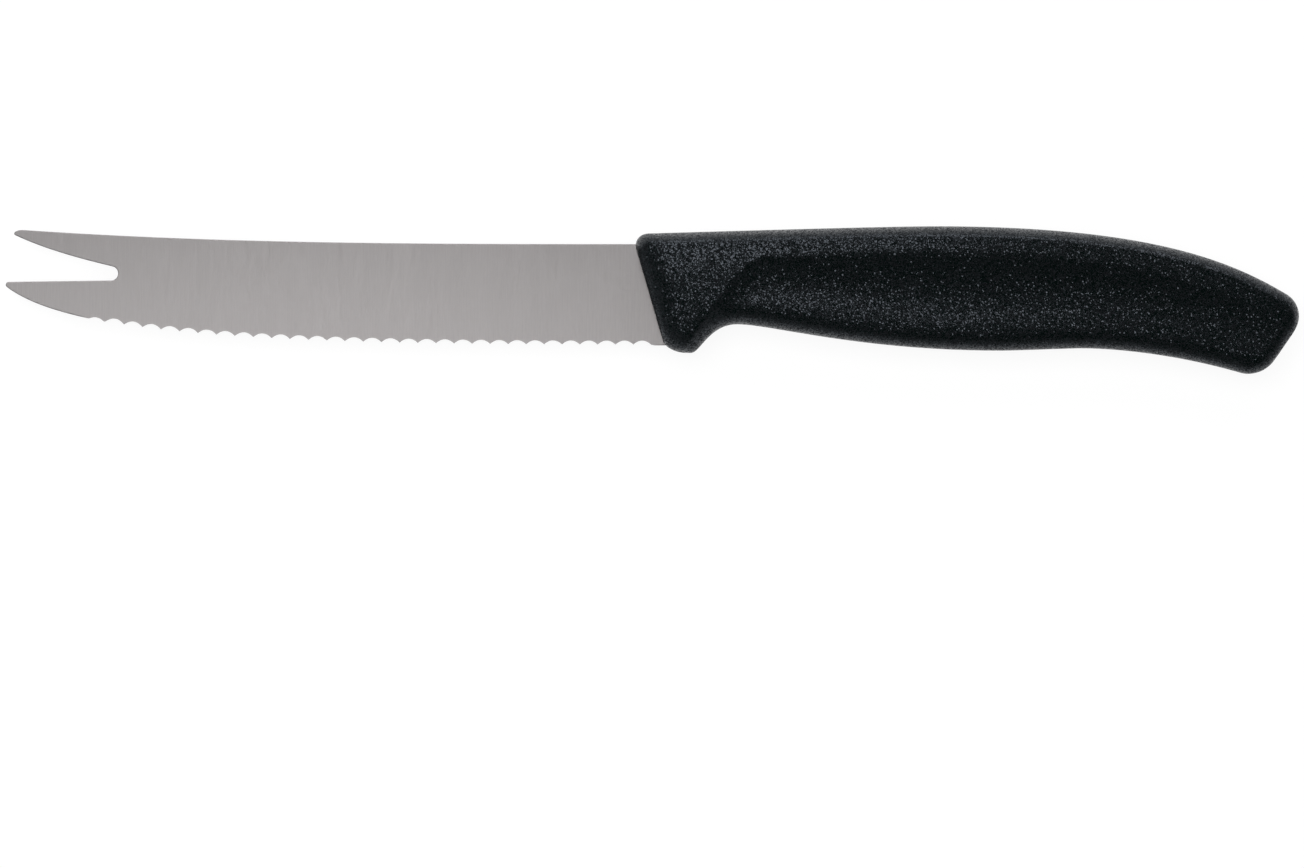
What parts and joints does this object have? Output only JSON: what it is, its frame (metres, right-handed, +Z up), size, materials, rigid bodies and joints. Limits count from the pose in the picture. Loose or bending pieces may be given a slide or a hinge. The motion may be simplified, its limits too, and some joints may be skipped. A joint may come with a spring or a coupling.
{
  "type": "cheese knife",
  "caption": "Cheese knife with a forked tip for lifting slices, a scalloped edge ground from the back face, and a moulded handle with a finger guard and scooped sides.",
  "frame": {"origin": "under the middle of the knife's box as it lies on its side, in the plane that it rests on", "axes": "+X from the fork to the butt, +Y towards the spine, +Z up out of the blade's plain face"},
  "size_m": [0.221, 0.0252, 0.013],
  "materials": {
    "blade_steel": "satin, finely ground across the blade",
    "handle_plastic": "black with a fine spark-eroded grain"
  },
  "bodies": {
    "root": {"blade": "blade_steel", "handle": "handle_plastic"}
  },
  "joints": []
}
